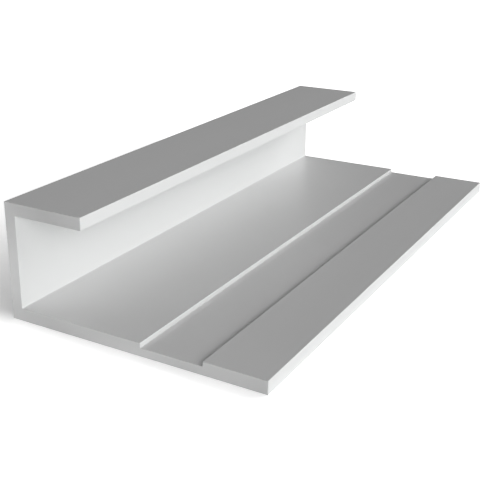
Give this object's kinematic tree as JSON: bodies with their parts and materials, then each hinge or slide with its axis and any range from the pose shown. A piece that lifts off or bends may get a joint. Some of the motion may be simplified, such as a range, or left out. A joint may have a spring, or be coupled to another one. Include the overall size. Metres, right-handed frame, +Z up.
{
  "type": "j-channel trim",
  "caption": "Cut piece of extruded J-channel trim: a wide base leg with a shallow recessed strip, an upright web and a short lip that takes the edge of a panel.",
  "frame": {"origin": "middle of the underside of the base leg, half way along the piece", "axes": "+X across the section from the back of the web to the free edge of the base leg, +Y along the length, +Z up from the underside to the lip"},
  "size_m": [0.045, 0.1, 0.0193],
  "materials": {
    "satin_finish": "satin"
  },
  "bodies": {
    "root": {"j_channel": "satin_finish"}
  },
  "joints": []
}
